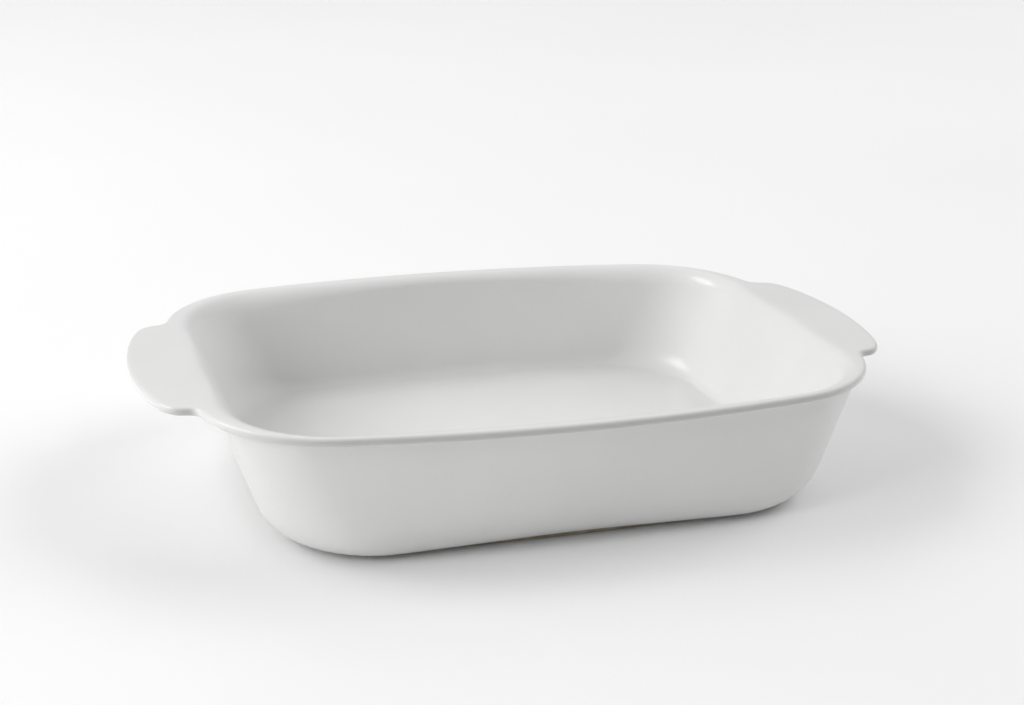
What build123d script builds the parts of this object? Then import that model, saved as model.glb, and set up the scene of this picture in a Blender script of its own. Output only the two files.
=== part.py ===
from build123d import *
from math import sqrt
import os

# Lasagna dish of glazed stoneware, in millimetres.
# The origin is on the table under the middle of the dish, +X runs along its length to the right
# handle, the long front side faces -Y and +Z is up.

# Overall sizes, with the length measured over the rim without its handles
rim_length = 334.0
rim_width = 250.0
height = 66.0

# Lip that flares out round the top of the walls
lip_side_bow = 20.0
lip_end_bow = 2.2
lip_corner_radius = 65.0
lip_thickness = 4.3
lip_edge_radius = 2.0
lip_inner_radius = 6.5
lip_root_radius = 3.2
rim_depth = 11.5

# Walls, outside, where the rim sits on them
end_overhang = 14.4
side_overhang = 6.4
wall_top_side_bow = 17.8
wall_top_end_bow = 1.5
wall_top_corner_radius = 38.0
wall_thickness = 5.0

# Walls, outside, where they would meet the underside if it weren't rounded
end_lean = 16.0
side_lean = 6.2
wall_foot_side_bow = 5.5
wall_foot_end_bow = 1.7
wall_foot_corner_radius = 47.5
outer_bottom_radius = 26.0
underside_cut = 2.3

# Floor inside
floor_thickness = 6.0
inner_bottom_radius = 14.0

# Bare ring that the dish stands on
foot_height = 2.0
foot_inset = 13.2
foot_width = 6.0
foot_edge_radius = 0.6

# Tab handles
handle_reach = 23.0
handle_end_width = 80.0
handle_end_bow = 4.5
handle_corner_pull = 34.0
handle_root_inset = 57.0
handle_root_pull = 13.0
handle_joint_inset = 4.5

# Places that follow from the sizes
cut_overrun = 10.0
rim_seat = height - rim_depth
lip_underside = height - lip_thickness
floor_level = foot_height + floor_thickness
handle_joint = rim_length / 2 - handle_joint_inset


def bowed_rectangle(half_length, half_width, side_bow, end_bow, corner_radius, level):
    """Rectangle at a level above the table, with outward-bowed sides and rounded corners."""
    corner_x = half_length - end_bow
    corner_y = half_width - side_bow
    with BuildSketch(Plane.XY.offset(level)) as outline:
        with BuildLine():
            ThreePointArc((-corner_x, -corner_y), (0, -half_width), (corner_x, -corner_y))
            ThreePointArc((corner_x, -corner_y), (half_length, 0), (corner_x, corner_y))
            ThreePointArc((corner_x, corner_y), (0, half_width), (-corner_x, corner_y))
            ThreePointArc((-corner_x, corner_y), (-half_length, 0), (-corner_x, -corner_y))
        make_face()
        fillet(outline.vertices(), corner_radius)
    return outline.sketch


def wall_outline(level, inset):
    """Outline of the leaning walls at a level, a given distance inside their outer face."""
    drop_share = (rim_seat - level) / (rim_seat - foot_height)
    side_bow = wall_top_side_bow + (wall_foot_side_bow - wall_top_side_bow) * drop_share
    end_bow = wall_top_end_bow + (wall_foot_end_bow - wall_top_end_bow) * drop_share
    corner_growth = (wall_foot_corner_radius - wall_top_corner_radius) * drop_share
    return bowed_rectangle(
        rim_length / 2 - end_overhang - end_lean * drop_share - inset,
        rim_width / 2 - side_overhang - side_lean * drop_share - inset,
        side_bow,
        end_bow,
        wall_top_corner_radius + corner_growth - inset,
        level,
    )


# Space inside the dish, which the basin and the lip are cut with
with BuildPart() as hollow:
    hollow_top = height + cut_overrun
    loft([wall_outline(floor_level, wall_thickness), wall_outline(hollow_top, wall_thickness)], ruled=True)
    fillet(hollow.edges().group_by(Axis.Z)[0], inner_bottom_radius)

# Basin: floor and leaning walls up to the seat of the rim, cut flat underneath
with BuildPart() as basin:
    loft([wall_outline(foot_height - underside_cut, 0), wall_outline(rim_seat, 0)], ruled=True)
    fillet(basin.edges().group_by(Axis.Z)[0], outer_bottom_radius)
    split(bisect_by=Plane.XY.offset(foot_height), keep=Keep.TOP)
    add(hollow.part, mode=Mode.SUBTRACT)

# Foot ring: stands on the table and carries the basin's underside
with BuildPart() as foot_ring:
    with BuildSketch() as foot_outline:
        add(wall_outline(0, foot_inset))
        add(wall_outline(0, foot_inset + foot_width), mode=Mode.SUBTRACT)
    extrude(amount=foot_height)
    fillet(foot_ring.edges().group_by(Axis.Z)[0], foot_edge_radius)

# Outline of the lip from above, and the points where a handle's outline leaves it
lip_plan = bowed_rectangle(
    rim_length / 2, rim_width / 2, lip_side_bow, lip_end_bow, lip_corner_radius, lip_underside
)
corner_arc = lip_plan.edges().group_by(SortBy.RADIUS)[0].sort_by(Axis((0, 0, 0), (1, 1, 0)))[-1]
root_offset = rim_width / 2 - handle_root_inset
root_rise = root_offset - corner_arc.arc_center.Y
root_run = sqrt(lip_corner_radius**2 - root_rise**2)
root = Vector(corner_arc.arc_center.X + root_run, root_offset)
root_pull = Vector(-root_rise, root_run) * (handle_root_pull / lip_corner_radius)
handle_end_middle = Vector(rim_length / 2 + handle_reach, 0)
tip = handle_end_middle + Vector(-handle_end_bow, handle_end_width / 2)

# Lip and handles in one piece, before they are parted
with BuildPart() as lip:
    with BuildSketch(Plane.XY.offset(lip_underside)) as lip_outline:
        with BuildLine():
            handle_end = ThreePointArc((tip.X, -tip.Y), handle_end_middle, tip)
            handle_side = [tip, tip + (handle_end % 1) * handle_corner_pull, root - root_pull, root]
            Bezier(*handle_side)
            Bezier(*[Vector(point.X, -point.Y) for point in handle_side])
            Line(root, (root.X, -root.Y))
        make_face()
        mirror(about=Plane.YZ)
        add(lip_plan)
    extrude(amount=lip_thickness)
    loft([wall_outline(rim_seat, 0), wall_outline(height - lip_thickness / 2, 0)], ruled=True)
    underside = lip.faces().filter_by(GeomType.PLANE).group_by(Axis.Z)[1][0]
    fillet(underside.inner_wires()[0].edges(), lip_root_radius)
    underside = lip.faces().filter_by(GeomType.PLANE).group_by(Axis.Z)[1][0]
    fillet(underside.outer_wire().edges(), lip_edge_radius)
    top_face = lip.faces().filter_by(GeomType.PLANE).sort_by(Axis.Z)[-1]
    fillet(top_face.outer_wire().edges(), lip_edge_radius)
    add(hollow.part, mode=Mode.SUBTRACT)
    top_face = lip.faces().filter_by(GeomType.PLANE).sort_by(Axis.Z)[-1]
    fillet(top_face.inner_wires()[0].edges(), lip_inner_radius)

# Rim: the lip between the two handles
with BuildPart() as rim:
    add(lip.part)
    split(bisect_by=Plane.YZ.offset(handle_joint), keep=Keep.BOTTOM)
    split(bisect_by=Plane.YZ.offset(-handle_joint), keep=Keep.TOP)

# Handles: flat tabs that carry the lip on past both ends
with BuildPart() as right_handle:
    add(lip.part)
    split(bisect_by=Plane.YZ.offset(handle_joint), keep=Keep.TOP)

with BuildPart() as left_handle:
    add(lip.part)
    split(bisect_by=Plane.YZ.offset(-handle_joint), keep=Keep.BOTTOM)

os.makedirs("parts", exist_ok=True)

basin.part.label = "basin"
export_step(basin.part, "parts/basin.step")
rim.part.label = "rim"
export_step(rim.part, "parts/rim.step")
left_handle.part.label = "left_handle"
export_step(left_handle.part, "parts/left_handle.step")
right_handle.part.label = "right_handle"
export_step(right_handle.part, "parts/right_handle.step")
foot_ring.part.label = "foot_ring"
export_step(foot_ring.part, "parts/foot_ring.step")
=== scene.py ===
"""Lasagna dish of glazed stoneware: one casting with a flared lip and two tab handles, on a bare foot."""
from math import asin, atan2, cos, pi, radians, sin, sqrt, tan

import bmesh
import bpy
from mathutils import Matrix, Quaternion, Vector
from mathutils.geometry import interpolate_bezier


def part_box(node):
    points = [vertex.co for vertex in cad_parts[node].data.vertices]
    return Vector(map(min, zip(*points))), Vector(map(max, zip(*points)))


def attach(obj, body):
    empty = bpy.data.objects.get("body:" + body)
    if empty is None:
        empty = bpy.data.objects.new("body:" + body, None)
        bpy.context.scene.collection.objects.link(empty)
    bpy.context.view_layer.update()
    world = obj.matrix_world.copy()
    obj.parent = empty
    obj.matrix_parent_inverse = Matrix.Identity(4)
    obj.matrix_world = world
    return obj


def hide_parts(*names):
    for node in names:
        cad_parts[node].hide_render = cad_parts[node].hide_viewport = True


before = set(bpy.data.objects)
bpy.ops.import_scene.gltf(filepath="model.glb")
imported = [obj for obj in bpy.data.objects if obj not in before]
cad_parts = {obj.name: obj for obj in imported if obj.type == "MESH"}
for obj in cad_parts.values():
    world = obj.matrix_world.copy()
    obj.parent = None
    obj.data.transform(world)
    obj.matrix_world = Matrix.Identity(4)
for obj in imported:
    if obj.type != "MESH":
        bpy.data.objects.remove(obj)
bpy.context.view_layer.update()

# Everything is in metres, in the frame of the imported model
MM = 0.001
UP = Vector((0, 0, 1))
RIGHT = Vector((1, 0, 0))

# Heights and lengths that the frame gives
FOOT_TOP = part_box("foot_ring")[1].z
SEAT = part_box("rim")[0].z
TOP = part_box("rim")[1].z
LIP_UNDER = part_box("right_handle")[0].z
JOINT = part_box("right_handle")[0].x
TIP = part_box("right_handle")[1].x
RIM_HALF_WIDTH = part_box("rim")[1].y
WALL_HALF_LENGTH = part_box("basin")[1].x
WALL_HALF_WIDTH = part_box("basin")[1].y

# Plan of the rim without its handles
RIM_HALF_LENGTH = 167 * MM
RIM_SIDE_BOW = 20 * MM
RIM_END_BOW = 2.2 * MM
RIM_CORNER = 65 * MM

# Plan of the walls, outside, at the seat of the rim and at the foot, and how far they lean in between
SEAT_SIDE_BOW = 17.8 * MM
SEAT_END_BOW = 1.5 * MM
SEAT_CORNER = 38 * MM
END_LEAN = 16 * MM
SIDE_LEAN = 6.2 * MM
FOOT_SIDE_BOW = 5.5 * MM
FOOT_END_BOW = 1.7 * MM
FOOT_CORNER = 47.5 * MM

# Inside: how thick the walls are, how much rounder the corners are at the top, and where the floor lies
WALL_THICKNESS = 5 * MM
INNER_ROUNDER = 10 * MM
FLOOR = FOOT_TOP + 6.8 * MM

# Size of the flat patch in the middle of floor and underside, as a share of the floor
CENTRE_SHARE = 0.12

# Roundings of the lip, of which the one into the dish takes at most a share of the lip's width
LIP_EDGE = 2.1 * MM
LIP_INNER = 11 * MM
LIP_INNER_SHARE = 0.8
LIP_ROOT = 3 * MM

# Rounding of the belly outside, and the level where walls and underside would meet without it
BELLY = 26 * MM
BELLY_LEVEL = -0.3 * MM

# Rounding between the walls and the floor inside, along the sides and in the corners
INNER_BOTTOM = 7 * MM
INNER_BOTTOM_CORNER = 17 * MM

# Bare foot ring, with the roundings of its lower edges and of its seam with the glaze
FOOT_INSET = 13.2 * MM
FOOT_WIDTH = 6 * MM
FOOT_EDGE = 0.7 * MM
FOOT_SEAM = 0.175 * MM

# Tab handles: width and bow of the end, place of the root, and how far the curved side pulls at both
HANDLE_END_WIDTH = 80 * MM
HANDLE_END_BOW = 4.5 * MM
HANDLE_CORNER_PULL = 34 * MM
HANDLE_ROOT = 68 * MM
HANDLE_ROOT_PULL = 13 * MM

# Steps round a quarter of the dish: on half an end, on a corner and on half a long side
END_STEPS = 16
HANDLE_END_STEPS = 4
CORNER_STEPS = 10
SIDE_STEPS = 6

# Points on each arc of the casting's section, and steps on each straight run between them
BELLY_POINTS = 9
BOTTOM_RUN = 4
LIP_ROOT_POINTS = 4
WALL_RUN = 5
LIP_UNDER_RUN = 4
NOSE_STEPS = 6
LIP_TOP_RUN = 4
LIP_INNER_POINTS = 6
INNER_WALL_RUN = 6
INNER_BOTTOM_POINTS = 7
FLOOR_RUN = 5

# The same for the foot ring's section
FOOT_SEAM_POINTS = 2
FOOT_EDGE_POINTS = 4
FOOT_TOP_RUN = 2
FOOT_SIDE_RUN = 1
FOOT_BASE_RUN = 4

# Turns round the lip's edge, from its underside to its top
NOSE_TURNS = [pi * step / NOSE_STEPS - pi / 2 for step in range(NOSE_STEPS + 1)]

# How often each mesh is divided and smoothed
SMOOTHING = 2

# Length of a Bezier handle that follows an arc, per radius and per tangent of a quarter of the arc's turn
BEZIER_ARC = 4 / 3

# Camera of the photograph: image and focal length in pixels, sensor in millimetres, angles in degrees
IMAGE_WIDTH = 1024
FOCAL_PIXELS = 1646
SENSOR = 36
VIEW_YAW = -18.2
VIEW_PITCH = 18.76
VIEW_ROLL = 1.4
VIEW_DISTANCE = 893.7 * MM
VIEW_TARGET = Vector((17.9, 48.8, 40)) * MM

# Colours
GLAZE_PALE = (0.76, 0.76, 0.755, 1)
GLAZE_DEEP = (0.735, 0.735, 0.73, 1)
# Painted shade on the lip's edge along the long sides
EDGE_SHADE = (0.5, 0.495, 0.48, 1)
SPECK = (0.5, 0.48, 0.44, 1)
CLAY_PALE = (0.4, 0.36, 0.27, 1)
CLAY_DEEP = (0.28, 0.25, 0.18, 1)
GRIT = (0.16, 0.14, 0.1, 1)
FLOOR_PALE = (0.87, 0.87, 0.87, 1)
FLOOR_DEEP = (0.85, 0.85, 0.85, 1)

# Patterns: scale, detail and roughness of the noise, and the span of it that counts
GLAZE_DRIFT = (14, 3, 0.5)
GLAZE_DRIFT_SPAN = (0.35, 0.65)
GLAZE_GRAIN = (900, 1, 0.4)
SPECK_SPAN = (0.72, 0.8)
SPECK_STRENGTH = (0, 0.25)
GLAZE_SHEEN = (60, 2, 0.5)
GLAZE_SHEEN_SPAN = (0.3, 0.7)
GLAZE_ROUGHNESS = (0.28, 0.34)
GLAZE_WAVES = (45, 1, 0.3)
CLAY_PATCHES = (120, 4, 0.6)
CLAY_PATCHES_SPAN = (0.35, 0.65)
CLAY_SAND = (2500, 2, 0.7)
GRIT_SPAN = (0.6, 0.75)
GRIT_STRENGTH = (0, 0.5)
FLOOR_DRIFT = (1.5, 3, 0.5)
FLOOR_DRIFT_SPAN = (0.3, 0.7)
FULL_RANGE = (0, 1)

# Finishes, with each bump as its strength and its height
GLAZE_IOR = 1.5
GLAZE_COAT = 0.3
GLAZE_COAT_ROUGHNESS = 0.2
WAVE_BUMP = (0.5, 0.1 * MM)
GRAIN_BUMP = (0.2, 0.01 * MM)
CLAY_ROUGHNESS = 0.85
SAND_BUMP = (0.6, 0.15 * MM)
FLOOR_ROUGHNESS = 0.7
FLOOR_SPECULAR = 0.2

# Studio
FLOOR_HALF = 15
WORLD_COLOUR = (1, 1, 1, 1)
WORLD_STRENGTH = 0.36
SOFTBOXES = (
    # Name, azimuth from +X and elevation in degrees, distance, width, height, watts, and shown in the gloss
    ("window", 156, 41, 3, 1.2, 1.7, 31, True),
    ("left", 195, 28, 2.8, 1.6, 1.6, 35, False),
    ("back", 90, 30, 4.5, 3.2, 3.2, 46, False),
    ("right", 5, 38, 4.5, 3.2, 3.2, 97, False),
)


# Shapes in plan and in section

def arcs(half_length, half_width, side_bow, end_bow, corner):
    """The arcs of a quarter of a rectangle with bowed sides, from the middle of its +X end.

    Each is given as (centre, radius, first turn, last turn).
    """
    side_span, end_span = half_length - end_bow, half_width - side_bow
    side_radius = (side_span**2 + side_bow**2) / (2 * side_bow)
    end_radius = (end_span**2 + end_bow**2) / (2 * end_bow)
    side_centre = Vector((0, half_width - side_radius))
    end_centre = Vector((half_length - end_radius, 0))
    # A corner's circle touches both arcs from inside, so its centre is a known way from both of theirs
    from_side, from_end = side_radius - corner, end_radius - corner
    between = side_centre - end_centre
    gap = between.length
    along = (gap**2 + from_end**2 - from_side**2) / (2 * gap)
    across = sqrt(from_end**2 - along**2)
    corner_centre = end_centre + (between * along + Vector((-between.y, between.x)) * across) / gap
    end_turn = atan2(corner_centre.y, corner_centre.x - end_centre.x)
    side_turn = atan2(corner_centre.y - side_centre.y, corner_centre.x)
    return (
        (end_centre, end_radius, 0, end_turn),
        (corner_centre, corner, end_turn, side_turn),
        (side_centre, side_radius, side_turn, pi / 2),
    )


def arc_points(arc, steps):
    """Points along an arc, without its last one."""
    centre, radius, first, last = arc
    turns = [first + (last - first) * step / steps for step in range(steps)]
    return [centre + radius * Vector((cos(turn), sin(turn))) for turn in turns]


def mirrored(quarter):
    """A whole outline from its first quarter, anticlockwise from the middle of the +X end."""
    half = quarter + [Vector((-place.x, place.y)) for place in reversed(quarter[:-1])]
    return half + [-place for place in half[1:-1]]


def direction(outline, column):
    """The way an outline runs at one of its points."""
    return (outline[(column + 1) % len(outline)] - outline[column - 1]).normalized()


def wall(level, inset, rounder=0):
    """Outline of the leaning walls at a level, inset from their outer face and with rounder corners."""
    drop = (SEAT - level) / (SEAT - FOOT_TOP)
    half_width = WALL_HALF_WIDTH - SIDE_LEAN * drop - inset
    end, corner, side = arcs(
        WALL_HALF_LENGTH - END_LEAN * drop - inset,
        half_width,
        SEAT_SIDE_BOW + (FOOT_SIDE_BOW - SEAT_SIDE_BOW) * drop,
        SEAT_END_BOW + (FOOT_END_BOW - SEAT_END_BOW) * drop,
        SEAT_CORNER + (FOOT_CORNER - SEAT_CORNER) * drop - inset + rounder,
    )
    quarter = arc_points(end, END_STEPS) + arc_points(corner, CORNER_STEPS) + arc_points(side, SIDE_STEPS)
    return [Vector((place.x, place.y, level)) for place in mirrored(quarter + [Vector((0, half_width))])]


def lip():
    """Outline of the lip: a handle's end and side in one curve, then the rim's corner and long side."""
    _, corner, side = arcs(RIM_HALF_LENGTH, RIM_HALF_WIDTH, RIM_SIDE_BOW, RIM_END_BOW, RIM_CORNER)
    corner_centre, radius, _, last = corner
    root_turn = asin((HANDLE_ROOT - corner_centre.y) / radius)
    root = corner_centre + radius * Vector((cos(root_turn), sin(root_turn)))
    tip = Vector((TIP - HANDLE_END_BOW, HANDLE_END_WIDTH / 2))
    tip_turn = 2 * atan2(HANDLE_END_BOW, tip.y)
    end_radius = tip.y / sin(tip_turn)
    handle_end = arc_points((Vector((TIP - end_radius, 0)), end_radius, 0, tip_turn), HANDLE_END_STEPS)
    handle_side = interpolate_bezier(
        tip,
        tip + HANDLE_CORNER_PULL * Vector((-sin(tip_turn), cos(tip_turn))),
        root - HANDLE_ROOT_PULL * Vector((-sin(root_turn), cos(root_turn))),
        root,
        END_STEPS - HANDLE_END_STEPS + 1,
    )
    quarter = handle_end + [place.to_2d() for place in handle_side[:-1]]
    quarter += arc_points((corner_centre, radius, root_turn, last), CORNER_STEPS)
    quarter += arc_points(side, SIDE_STEPS)
    return mirrored(quarter + [Vector((0, RIM_HALF_WIDTH))])


def rounded(before, corner, after, radius, points):
    """Points of the arc that rounds a corner between its two neighbours."""
    back, on = (before - corner).normalized(), (after - corner).normalized()
    half_angle = back.angle(on) / 2
    reach = radius / tan(half_angle)
    quarter_turn = (pi - 2 * half_angle) / 4
    pull = reach - BEZIER_ARC * tan(quarter_turn) * radius
    return interpolate_bezier(
        corner + back * reach, corner + back * pull, corner + on * pull, corner + on * reach, points
    )


def section(start, corners, end, last_run):
    """Points from start to end round corners.

    Each corner is given as (place, radius, points on its arc, steps on the run before it).
    """
    places = [start] + [corner[0] for corner in corners] + [end]
    line = [start]
    for before, (place, radius, points, run), after in zip(places, corners, places[2:]):
        arc = rounded(before, place, after, radius, points)
        line += [line[-1].lerp(arc[0], step / run) for step in range(1, run)] + arc
    return line + [line[-1].lerp(end, step / last_run) for step in range(1, last_run + 1)]


def lip_edge(place, out):
    """Points round the lip's edge, from its underside to its top."""
    half_thickness = (TOP - LIP_UNDER) / 2
    middle = place.to_3d() + UP * (TOP - half_thickness)
    return [
        middle + out * LIP_EDGE * (cos(turn) - 1) + UP * half_thickness * sin(turn)
        for turn in NOSE_TURNS
    ]


def outside_section(centre, foot, lip_root, lip_start):
    """The section from the middle of the underside round the belly and up the wall to the lip's edge."""
    corners = (
        (foot, BELLY, BELLY_POINTS, BOTTOM_RUN),
        (lip_root, LIP_ROOT, LIP_ROOT_POINTS, WALL_RUN),
    )
    return section(centre + UP * BELLY_LEVEL, corners, lip_start, LIP_UNDER_RUN)


def inside_section(centre, bottom, top, lip_end, cornering):
    """The section from the lip's edge down the inner wall to the middle of the floor."""
    lip_rounding = min(LIP_INNER, LIP_INNER_SHARE * (lip_end - top).length)
    bottom_rounding = INNER_BOTTOM + (INNER_BOTTOM_CORNER - INNER_BOTTOM) * cornering
    corners = (
        (top, lip_rounding, LIP_INNER_POINTS, LIP_TOP_RUN),
        (bottom, bottom_rounding, INNER_BOTTOM_POINTS, INNER_WALL_RUN),
    )
    return section(lip_end, corners, centre + UP * FLOOR, FLOOR_RUN)


def casting_sections():
    """The section of the glazed dish at each column, from the underside over the lip to the floor inside.

    With it comes how much painted shade darkens each point, which is only round the long sides' edge.
    """
    edges, foot, lip_root = lip(), wall(BELLY_LEVEL, 0), wall(LIP_UNDER, 0)
    inner_top, inner_bottom = wall(TOP, WALL_THICKNESS, INNER_ROUNDER), wall(FLOOR, WALL_THICKNESS)
    sections, edge_shades = [], []
    for column, edge in enumerate(edges):
        along, inner_along = direction(edges, column), direction(inner_bottom, column)
        out = Vector((along.y, -along.x, 0))
        nose = lip_edge(edge, out)
        centre = (inner_bottom[column] * CENTRE_SHARE).to_2d().to_3d()
        under = outside_section(centre, foot[column], lip_root[column], nose[0])
        # How far the inner wall turns a corner here: hardly along its sides, fully midway round
        cornering = abs(2 * inner_along.x * inner_along.y)
        over = inside_section(centre, inner_bottom[column], inner_top[column], nose[-1], cornering)
        line = under + nose[1:-1] + over
        sections.append([Vector((place.x, place.y, max(place.z, FOOT_TOP))) for place in line])
        # Painted shade round the long sides' lip edge, strongest midway round it
        nose_shade = [(out.y * cos(turn)) ** 2 for turn in NOSE_TURNS]
        edge_shades.append([0] * (len(under) - 1) + nose_shade + [0] * (len(over) - 1))
    return sections, edge_shades


def foot_sections():
    """The section of the bare foot ring at each column: a low bar with its lower edges rounded."""
    outer, inner = wall(0, FOOT_INSET), wall(0, FOOT_INSET + FOOT_WIDTH)
    top = UP * FOOT_TOP
    sections = []
    for out, into in zip(outer, inner):
        middle = (out + into) / 2 + top
        corners = (
            (into + top, FOOT_SEAM, FOOT_SEAM_POINTS, FOOT_TOP_RUN),
            (into, FOOT_EDGE, FOOT_EDGE_POINTS, FOOT_SIDE_RUN),
            (out, FOOT_EDGE, FOOT_EDGE_POINTS, FOOT_BASE_RUN),
            (out + top, FOOT_SEAM, FOOT_SEAM_POINTS, FOOT_SIDE_RUN),
        )
        sections.append(section(middle, corners, middle, FOOT_TOP_RUN)[:-1])
    return sections


# Meshes

def ring_edges(bm, verts):
    """The edges that join two points of a ring."""
    ring = set(verts)
    return [edge for edge in bm.edges if ring.issuperset(edge.verts)]


def loft(sections, edge_shades, closed):
    """A mesh pulled ring by ring along the sections.

    It ends in two caps or, when closed, in its own first ring.
    """
    bm = bmesh.new()
    number = bm.verts.layers.int.new("column")
    # Each point's share of painted shade
    edge_shade_layer = bm.verts.layers.float.new("painted_edge_shade")
    ring = bmesh.ops.create_circle(bm, cap_ends=not closed, segments=len(sections), radius=1)["verts"]
    for column, vert in enumerate(ring):
        vert[number] = column
        vert.co = sections[column][0]
    edges = first = ring_edges(bm, ring)
    for level in range(1, len(sections[0])):
        grown = bmesh.ops.extrude_edge_only(bm, edges=edges)["geom"]
        ring = {item for item in grown if isinstance(item, bmesh.types.BMVert)}
        for vert in ring:
            vert.co = sections[vert[number]][level]
            vert[edge_shade_layer] = edge_shades[vert[number]][level]
        grown_edges = [item for item in grown if isinstance(item, bmesh.types.BMEdge)]
        edges = [edge for edge in grown_edges if ring.issuperset(edge.verts)]
    if closed:
        bmesh.ops.bridge_loops(bm, edges=first + edges)
    else:
        bmesh.ops.contextual_create(bm, geom=edges)
    bmesh.ops.recalc_face_normals(bm, faces=bm.faces)
    return bm


def smoothed(bm, name):
    """The mesh after its subdivision, as a new bmesh with smooth faces."""
    mesh = bpy.data.meshes.new(name)
    bm.to_mesh(mesh)
    bm.free()
    draft = bpy.data.objects.new(name, mesh)
    bpy.context.scene.collection.objects.link(draft)
    subdivision = draft.modifiers.new("smoothing", "SUBSURF")
    subdivision.levels = subdivision.render_levels = SMOOTHING
    evaluated = draft.evaluated_get(bpy.context.evaluated_depsgraph_get())
    smooth = bmesh.new()
    smooth.from_mesh(evaluated.to_mesh())
    evaluated.to_mesh_clear()
    bpy.data.objects.remove(draft)
    bpy.data.meshes.remove(mesh)
    for face in smooth.faces:
        face.smooth = True
    return smooth


def cut_away(bm, place, normal):
    """Cuts away what lies past a plane and closes the cut with flat faces."""
    geometry = bm.verts[:] + bm.edges[:] + bm.faces[:]
    cut = bmesh.ops.bisect_plane(bm, geom=geometry, plane_co=place, plane_no=normal, clear_outer=True)
    edges = [item for item in cut["geom_cut"] if isinstance(item, bmesh.types.BMEdge)]
    filled = bmesh.ops.triangle_fill(bm, edges=edges, use_beauty=True, normal=normal)
    for face in filled["geom"]:
        if isinstance(face, bmesh.types.BMFace):
            face.smooth = False


def finished(bm, name, material, finish):
    """A piece of the dish from its mesh, shaded as the whole casting was before it was parted."""
    mesh = bpy.data.meshes.new(name)
    kept = bm.verts.layers.float_vector.get("normal")
    bmesh.ops.recalc_face_normals(bm, faces=bm.faces)
    normals = [
        Vector(corner.vert[kept]) if kept and face.smooth else face.normal.copy()
        for face in bm.faces
        for corner in face.loops
    ]
    bm.to_mesh(mesh)
    if kept:
        mesh.normals_split_custom_set(normals)
    bm.free()
    mesh.materials.append(material)
    piece = bpy.data.objects.new(f"{finish}_{name}", mesh)
    bpy.context.scene.collection.objects.link(piece)
    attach(piece, "root")
    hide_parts(name)


def add_casting(glaze):
    """Basin, rim and handles: one smooth casting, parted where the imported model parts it."""
    sections, edge_shades = casting_sections()
    whole = smoothed(loft(sections, edge_shades, closed=False), "casting")
    whole.normal_update()
    kept = whole.verts.layers.float_vector.new("normal")
    for vert in whole.verts:
        vert[kept] = vert.normal
    seat, right_joint, left_joint = UP * SEAT, RIGHT * JOINT, -RIGHT * JOINT
    for name, cuts in (
        ("basin", ((seat, UP),)),
        ("rim", ((seat, -UP), (right_joint, RIGHT), (left_joint, -RIGHT))),
        ("left_handle", ((left_joint, RIGHT),)),
        ("right_handle", ((right_joint, -RIGHT),)),
    ):
        piece = whole.copy()
        for place, normal in cuts:
            cut_away(piece, place, normal)
        finished(piece, name, glaze, "glaze")
    whole.free()


def add_foot_ring(stoneware):
    """The bare ring under the basin."""
    sections = foot_sections()
    no_edge_shade = [[0] * len(line) for line in sections]
    ring = smoothed(loft(sections, no_edge_shade, closed=True), "foot_ring")
    finished(ring, "foot_ring", stoneware, "bare_stoneware")


# Materials

def new_material(name):
    """An empty material with its node tree, its shader and the object's own coordinates."""
    material = bpy.data.materials.new(name)
    material.use_nodes = True
    tree = material.node_tree
    place = tree.nodes.new("ShaderNodeTexCoord").outputs["Object"]
    return material, tree, tree.nodes["Principled BSDF"], place


def set_inputs(node, names, numbers):
    """Sets inputs of a node to constant numbers."""
    for name, number in zip(names, numbers):
        node.inputs[name].default_value = number


def add_noise(tree, place, pattern):
    """The value of a noise pattern, given as its scale, detail and roughness."""
    noise = tree.nodes.new("ShaderNodeTexNoise")
    set_inputs(noise, ("Scale", "Detail", "Roughness"), pattern)
    tree.links.new(place, noise.inputs["Vector"])
    return noise.outputs["Fac"]


def add_range(tree, value, span, target):
    """Maps a value from one span to another, and holds it inside."""
    mapped = tree.nodes.new("ShaderNodeMapRange")
    set_inputs(mapped, ("From Min", "From Max", "To Min", "To Max"), span + target)
    tree.links.new(value, mapped.inputs["Value"])
    return mapped.outputs["Result"]


def add_mix(tree, share, first, second):
    """A colour between two others."""
    mix = tree.nodes.new("ShaderNodeMix")
    mix.data_type = "RGBA"
    tree.links.new(share, mix.inputs["Factor"])
    for socket, colour in ((mix.inputs["A"], first), (mix.inputs["B"], second)):
        if isinstance(colour, tuple):
            socket.default_value = colour
        else:
            tree.links.new(colour, socket)
    return mix.outputs["Result"]


def add_bump(tree, height, strength_and_distance, before=None):
    """A normal that follows a height."""
    bump = tree.nodes.new("ShaderNodeBump")
    set_inputs(bump, ("Strength", "Distance"), strength_and_distance)
    tree.links.new(height, bump.inputs["Height"])
    if before:
        tree.links.new(before, bump.inputs["Normal"])
    return bump.outputs["Normal"]


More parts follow.
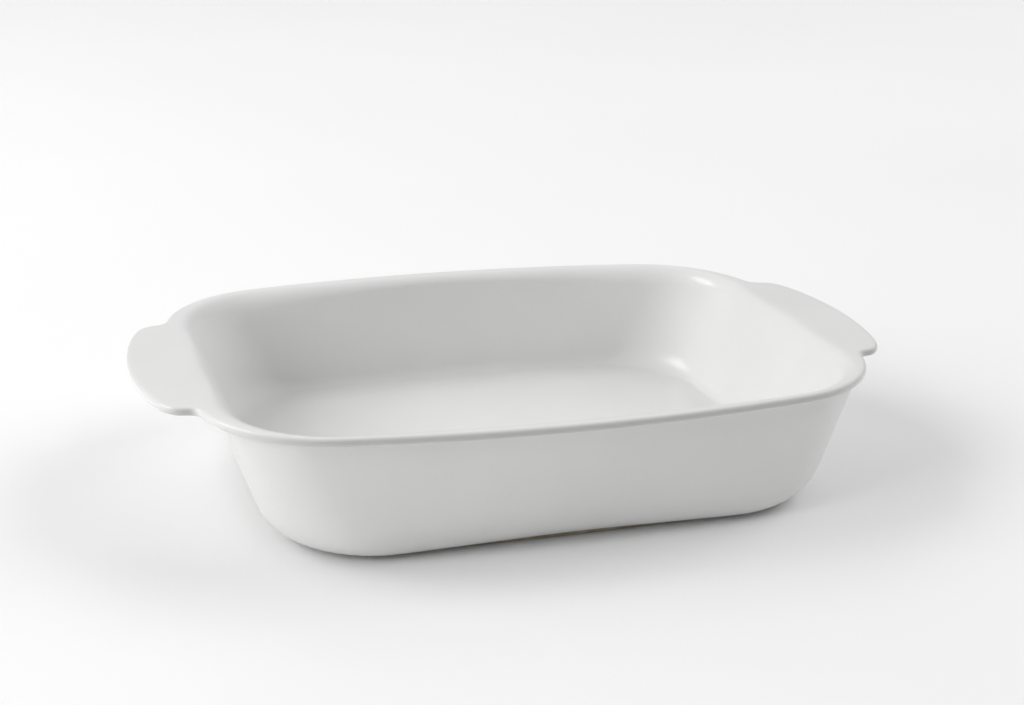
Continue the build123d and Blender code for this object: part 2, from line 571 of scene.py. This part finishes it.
def glaze_material():
    """Softly glossy off-white glaze: a drift of tone, painted shade on the long sides' edges, faint specks
    and slight waves.
    """
    material, tree, shader, place = new_material("off_white_glaze")
    drift = add_range(tree, add_noise(tree, place, GLAZE_DRIFT), GLAZE_DRIFT_SPAN, FULL_RANGE)
    body = add_mix(tree, drift, GLAZE_PALE, GLAZE_DEEP)
    edge = tree.nodes.new("ShaderNodeAttribute")
    edge.attribute_name = "painted_edge_shade"
    # Darkens the long sides' lip edges with painted shade
    body = add_mix(tree, edge.outputs["Fac"], body, EDGE_SHADE)
    grain = add_noise(tree, place, GLAZE_GRAIN)
    specks = add_range(tree, grain, SPECK_SPAN, SPECK_STRENGTH)
    tree.links.new(add_mix(tree, specks, body, SPECK), shader.inputs["Base Color"])
    sheen = add_range(tree, add_noise(tree, place, GLAZE_SHEEN), GLAZE_SHEEN_SPAN, GLAZE_ROUGHNESS)
    tree.links.new(sheen, shader.inputs["Roughness"])
    shader.inputs["IOR"].default_value = GLAZE_IOR
    shader.inputs["Coat Weight"].default_value = GLAZE_COAT
    shader.inputs["Coat Roughness"].default_value = GLAZE_COAT_ROUGHNESS
    waves = add_bump(tree, add_noise(tree, place, GLAZE_WAVES), WAVE_BUMP)
    tree.links.new(add_bump(tree, grain, GRAIN_BUMP, waves), shader.inputs["Normal"])
    return material


def stoneware_material():
    """Bare fired stoneware: matt, sandy and uneven, between olive and grey."""
    material, tree, shader, place = new_material("fired_stoneware")
    patches = add_range(tree, add_noise(tree, place, CLAY_PATCHES), CLAY_PATCHES_SPAN, FULL_RANGE)
    body = add_mix(tree, patches, CLAY_PALE, CLAY_DEEP)
    sand = add_noise(tree, place, CLAY_SAND)
    grit = add_range(tree, sand, GRIT_SPAN, GRIT_STRENGTH)
    tree.links.new(add_mix(tree, grit, body, GRIT), shader.inputs["Base Color"])
    shader.inputs["Roughness"].default_value = CLAY_ROUGHNESS
    tree.links.new(add_bump(tree, sand, SAND_BUMP), shader.inputs["Normal"])
    return material


def floor_material():
    """Pale studio floor, matt with a hardly visible drift of tone."""
    material, tree, shader, place = new_material("studio_floor")
    drift = add_range(tree, add_noise(tree, place, FLOOR_DRIFT), FLOOR_DRIFT_SPAN, FULL_RANGE)
    tree.links.new(add_mix(tree, drift, FLOOR_PALE, FLOOR_DEEP), shader.inputs["Base Color"])
    shader.inputs["Roughness"].default_value = FLOOR_ROUGHNESS
    shader.inputs["Specular IOR Level"].default_value = FLOOR_SPECULAR
    return material


# Camera, floor and light

def add_camera():
    """The camera of the photograph: its angle, its distance and its lens."""
    yaw, pitch = radians(VIEW_YAW), radians(VIEW_PITCH)
    back = Vector((sin(yaw) * cos(pitch), -cos(yaw) * cos(pitch), sin(pitch)))
    data = bpy.data.cameras.new("camera")
    data.sensor_width = SENSOR
    data.lens = FOCAL_PIXELS * SENSOR / IMAGE_WIDTH
    camera = bpy.data.objects.new("camera", data)
    camera.rotation_mode = "QUATERNION"
    camera.rotation_quaternion = back.to_track_quat("Z", "Y") @ Quaternion(UP, radians(VIEW_ROLL))
    camera.location = VIEW_TARGET + back * VIEW_DISTANCE
    bpy.context.scene.collection.objects.link(camera)
    bpy.context.scene.camera = camera


def add_floor():
    """A wide pale floor that fills the view."""
    bm = bmesh.new()
    bmesh.ops.create_grid(bm, x_segments=1, y_segments=1, size=FLOOR_HALF)
    mesh = bpy.data.meshes.new("studio_floor")
    bm.to_mesh(mesh)
    bm.free()
    mesh.materials.append(floor_material())
    floor = bpy.data.objects.new("studio_floor", mesh)
    bpy.context.scene.collection.objects.link(floor)


def add_softbox(name, azimuth, elevation, distance, width, height, power, mirrored_in_glaze):
    """A soft light that points at the dish, and that shows in its gloss or doesn't."""
    turn, rise = radians(azimuth), radians(elevation)
    data = bpy.data.lights.new(name, "AREA")
    data.shape = "RECTANGLE"
    data.size, data.size_y = width, height
    data.energy = power
    light = bpy.data.objects.new(name, data)
    light.location = distance * Vector((cos(turn) * cos(rise), sin(turn) * cos(rise), sin(rise)))
    light.rotation_mode = "QUATERNION"
    light.rotation_quaternion = light.location.to_track_quat("Z", "Y")
    light.visible_glossy = mirrored_in_glaze
    bpy.context.scene.collection.objects.link(light)


def add_light():
    """A white room with soft lights: a window and a wide one on the left, one behind, one on the right."""
    world = bpy.data.worlds.new("studio")
    world.use_nodes = True
    background = world.node_tree.nodes["Background"]
    background.inputs["Color"].default_value = WORLD_COLOUR
    background.inputs["Strength"].default_value = WORLD_STRENGTH
    bpy.context.scene.world = world
    bpy.context.scene.view_settings.view_transform = "Standard"
    for softbox in SOFTBOXES:
        add_softbox(*softbox)


add_camera()
add_floor()
add_light()
add_casting(glaze_material())
add_foot_ring(stoneware_material())
